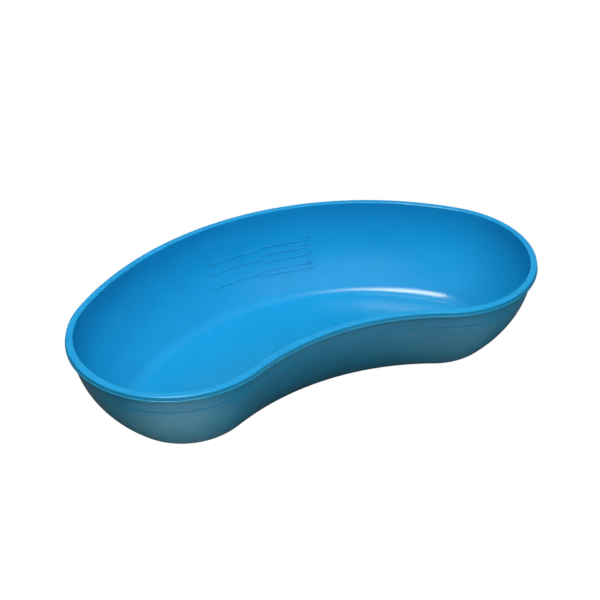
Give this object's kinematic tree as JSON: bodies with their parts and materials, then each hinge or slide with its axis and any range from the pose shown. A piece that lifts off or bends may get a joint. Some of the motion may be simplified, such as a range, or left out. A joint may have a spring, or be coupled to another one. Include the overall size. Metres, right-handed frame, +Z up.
{
  "type": "kidney dish",
  "caption": "Reusable blue plastic kidney dish with a lipped rim, bulging walls and a raised measuring scale on the inside of the rear wall.",
  "frame": {"origin": "centre of the base, on the surface the dish stands on", "axes": "+X along the dish's length, +Y towards the bulging back that carries the measuring scale, +Z up"},
  "size_m": [0.25, 0.1354, 0.049],
  "materials": {
    "dish_plastic": "satin gloss, moulded",
    "scale_plastic": "satin gloss, moulded, raised"
  },
  "bodies": {
    "root": {"dish_body": "dish_plastic", "graduation_scale": "scale_plastic"}
  },
  "joints": []
}
